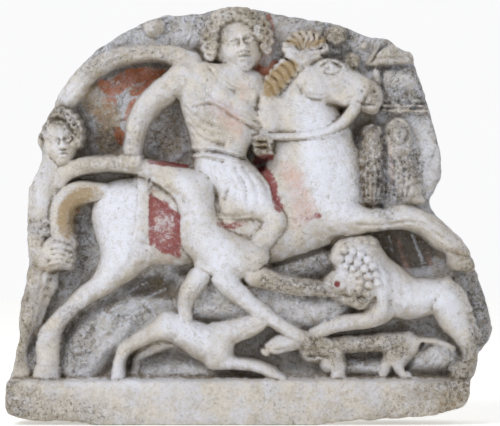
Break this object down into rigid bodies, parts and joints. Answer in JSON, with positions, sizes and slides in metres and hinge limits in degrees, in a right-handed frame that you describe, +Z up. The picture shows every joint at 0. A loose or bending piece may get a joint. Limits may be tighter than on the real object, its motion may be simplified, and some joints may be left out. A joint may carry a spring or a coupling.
{
  "type": "votive relief tablet",
  "caption": "Small marble tablet carved in high relief with a mounted hunter, a lion and hounds over a plain plinth; it stands on its underside or is fixed by its flat back.",
  "frame": {"origin": "On the level of the flat underside, at the middle of the tablet's width and midway between its flat back and its foremost carving.", "axes": "+Z is up, the carved face looks towards -Y, the flat back towards +Y, and +X runs along the width to the viewer's right."},
  "size_m": [0.368, 0.066, 0.314],
  "materials": {
    "marble": "satin"
  },
  "bodies": {
    "root": {"tablet": "marble"}
  },
  "joints": []
}
